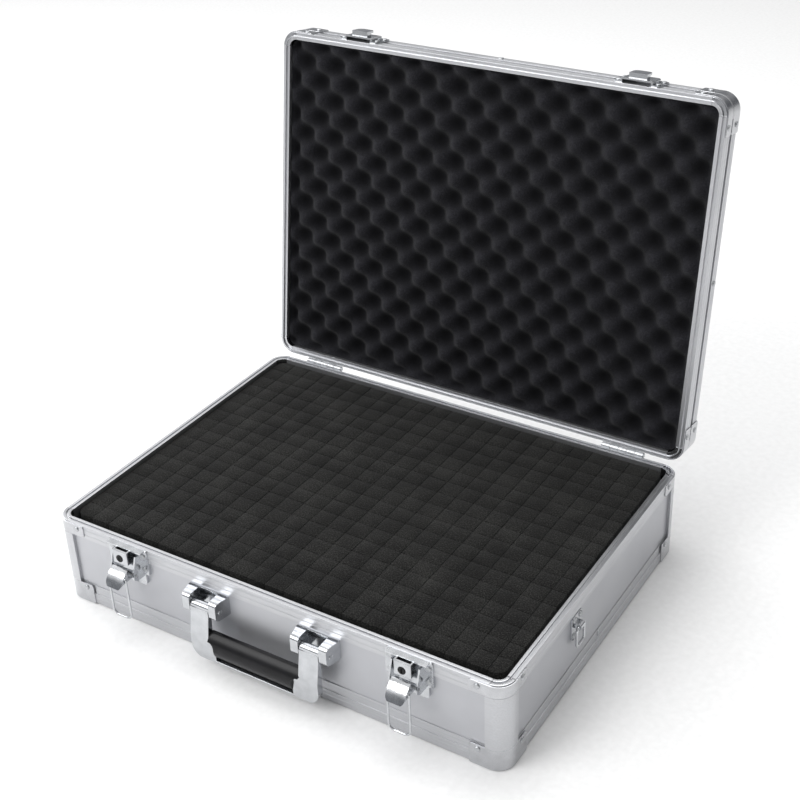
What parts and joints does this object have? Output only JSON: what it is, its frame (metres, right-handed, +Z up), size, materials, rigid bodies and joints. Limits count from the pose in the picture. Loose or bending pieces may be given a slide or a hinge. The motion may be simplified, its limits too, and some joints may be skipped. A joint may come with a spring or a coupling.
{
  "type": "foam-lined equipment case",
  "caption": "Rectangular aluminium-framed case with a foam-filled base, egg-crate foam lid, drawbolt latches with wire bails, and a folding carry handle.",
  "frame": {"origin": "middle of the underside of the base", "axes": "+X right along the length seen from the handle side, +Y to the hinges at the back, +Z up"},
  "size_m": [0.4726, 0.4493, 0.4362],
  "materials": {
    "silver_board": "silver laminate on board, satin",
    "anodised_aluminium": "satin anodised",
    "plated_steel": "polished plate",
    "chrome_hardware": "polished plate",
    "zinc_steel": "bright zinc plate",
    "lock_core": "black nickel plated",
    "black_grip": "gloss moulded",
    "base_foam": "open-cell foam, matt",
    "lid_foam": "convoluted open-cell foam, matt"
  },
  "bodies": {
    "base_case": {"base_back_panel": "silver_board", "base_corner_profiles": "anodised_aluminium", "base_edge_back": "anodised_aluminium", "base_edge_corners": "plated_steel", "base_edge_front": "anodised_aluminium", "base_edge_left": "anodised_aluminium", "base_edge_right": "anodised_aluminium", "base_floor_panel": "silver_board", "base_front_panel": "silver_board", "base_left_panel": "silver_board", "base_right_panel": "silver_board", "base_rim_back": "anodised_aluminium", "base_rim_corners": "plated_steel", "base_rim_front": "anodised_aluminium", "base_rim_left": "anodised_aluminium", "base_rim_right": "anodised_aluminium", "base_rivets": "plated_steel", "foam_base_pad": "base_foam", "foam_cube_block": "base_foam", "handle_bracket_left": "chrome_hardware", "handle_bracket_right": "chrome_hardware", "handle_pins": "chrome_hardware", "hinge_base_leaf_left": "zinc_steel", "hinge_base_leaf_right": "zinc_steel", "hinge_pins": "zinc_steel", "latch_base_plate_left": "chrome_hardware", "latch_base_plate_right": "chrome_hardware", "latch_lever_pins": "chrome_hardware", "strap_ring_plate_left": "chrome_hardware", "strap_ring_plate_right": "chrome_hardware"},
    "lid": {"hinge_lid_leaf_left": "zinc_steel", "hinge_lid_leaf_right": "zinc_steel", "latch_catch_left": "chrome_hardware", "latch_catch_right": "chrome_hardware", "lid_corner_profiles": "anodised_aluminium", "lid_edge_back": "anodised_aluminium", "lid_edge_corners": "plated_steel", "lid_edge_front": "anodised_aluminium", "lid_edge_left": "anodised_aluminium", "lid_edge_right": "anodised_aluminium", "lid_foam": "lid_foam", "lid_rim_back": "anodised_aluminium", "lid_rim_corners": "plated_steel", "lid_rim_front": "anodised_aluminium", "lid_rim_left": "anodised_aluminium", "lid_rim_right": "anodised_aluminium", "lid_rivets": "plated_steel", "lid_top_panel": "silver_board", "lid_wall_strips": "silver_board"},
    "handle": {"handle_frame": "chrome_hardware", "handle_grip": "black_grip"},
    "latch_lever_left": {"latch_lever_left": "chrome_hardware"},
    "latch_bail_left": {"latch_bail_left": "chrome_hardware"},
    "lock_plug_left": {"lock_plug_left": "lock_core"},
    "strap_ring_left": {"strap_ring_left": "chrome_hardware"},
    "latch_lever_right": {"latch_lever_right": "chrome_hardware"},
    "latch_bail_right": {"latch_bail_right": "chrome_hardware"},
    "lock_plug_right": {"lock_plug_right": "lock_core"},
    "strap_ring_right": {"strap_ring_right": "chrome_hardware"}
  },
  "joints": [
    {"name": "lid_hinge", "type": "hinge", "parent": "base_case", "child": "lid", "pos_m": [0, 0.1731, 0.0883], "axis": [1, 0, 0], "range_deg": [0, 98.3]},
    {"name": "handle_swing", "type": "hinge", "parent": "base_case", "child": "handle", "pos_m": [0, -0.18, 0.0615], "axis": [-1, 0, 0], "range_deg": [0, 95]},
    {"name": "latch_lever_left_swing", "type": "hinge", "parent": "base_case", "child": "latch_lever_left", "pos_m": [-0.1445, -0.179, 0.0635], "axis": [1, 0, 0], "range_deg": [-50, 0]},
    {"name": "latch_bail_left_swing", "type": "hinge", "parent": "latch_lever_left", "child": "latch_bail_left", "pos_m": [-0.1445, -0.1885, 0.0645], "axis": [-1, 0, 0], "range_deg": [0, 196.5]},
    {"name": "lock_plug_left_turn", "type": "hinge", "parent": "base_case", "child": "lock_plug_left", "pos_m": [-0.1445, -0.182, 0.0796], "axis": [0, -1, 0], "range_deg": [0, 90]},
    {"name": "strap_ring_left_swing", "type": "hinge", "parent": "base_case", "child": "strap_ring_left", "pos_m": [-0.2336, -0.047, 0.0625], "axis": [0, 1, 0], "range_deg": [0, 150]},
    {"name": "latch_lever_right_swing", "type": "hinge", "parent": "base_case", "child": "latch_lever_right", "pos_m": [0.1445, -0.179, 0.0635], "axis": [1, 0, 0], "range_deg": [-50, 0]},
    {"name": "latch_bail_right_swing", "type": "hinge", "parent": "latch_lever_right", "child": "latch_bail_right", "pos_m": [0.1445, -0.1885, 0.0645], "axis": [-1, 0, 0], "range_deg": [0, 196.5]},
    {"name": "lock_plug_right_turn", "type": "hinge", "parent": "base_case", "child": "lock_plug_right", "pos_m": [0.1445, -0.182, 0.0796], "axis": [0, -1, 0], "range_deg": [0, 90]},
    {"name": "strap_ring_right_swing", "type": "hinge", "parent": "base_case", "child": "strap_ring_right", "pos_m": [0.2336, -0.047, 0.0625], "axis": [0, -1, 0], "range_deg": [0, 150]}
  ]
}
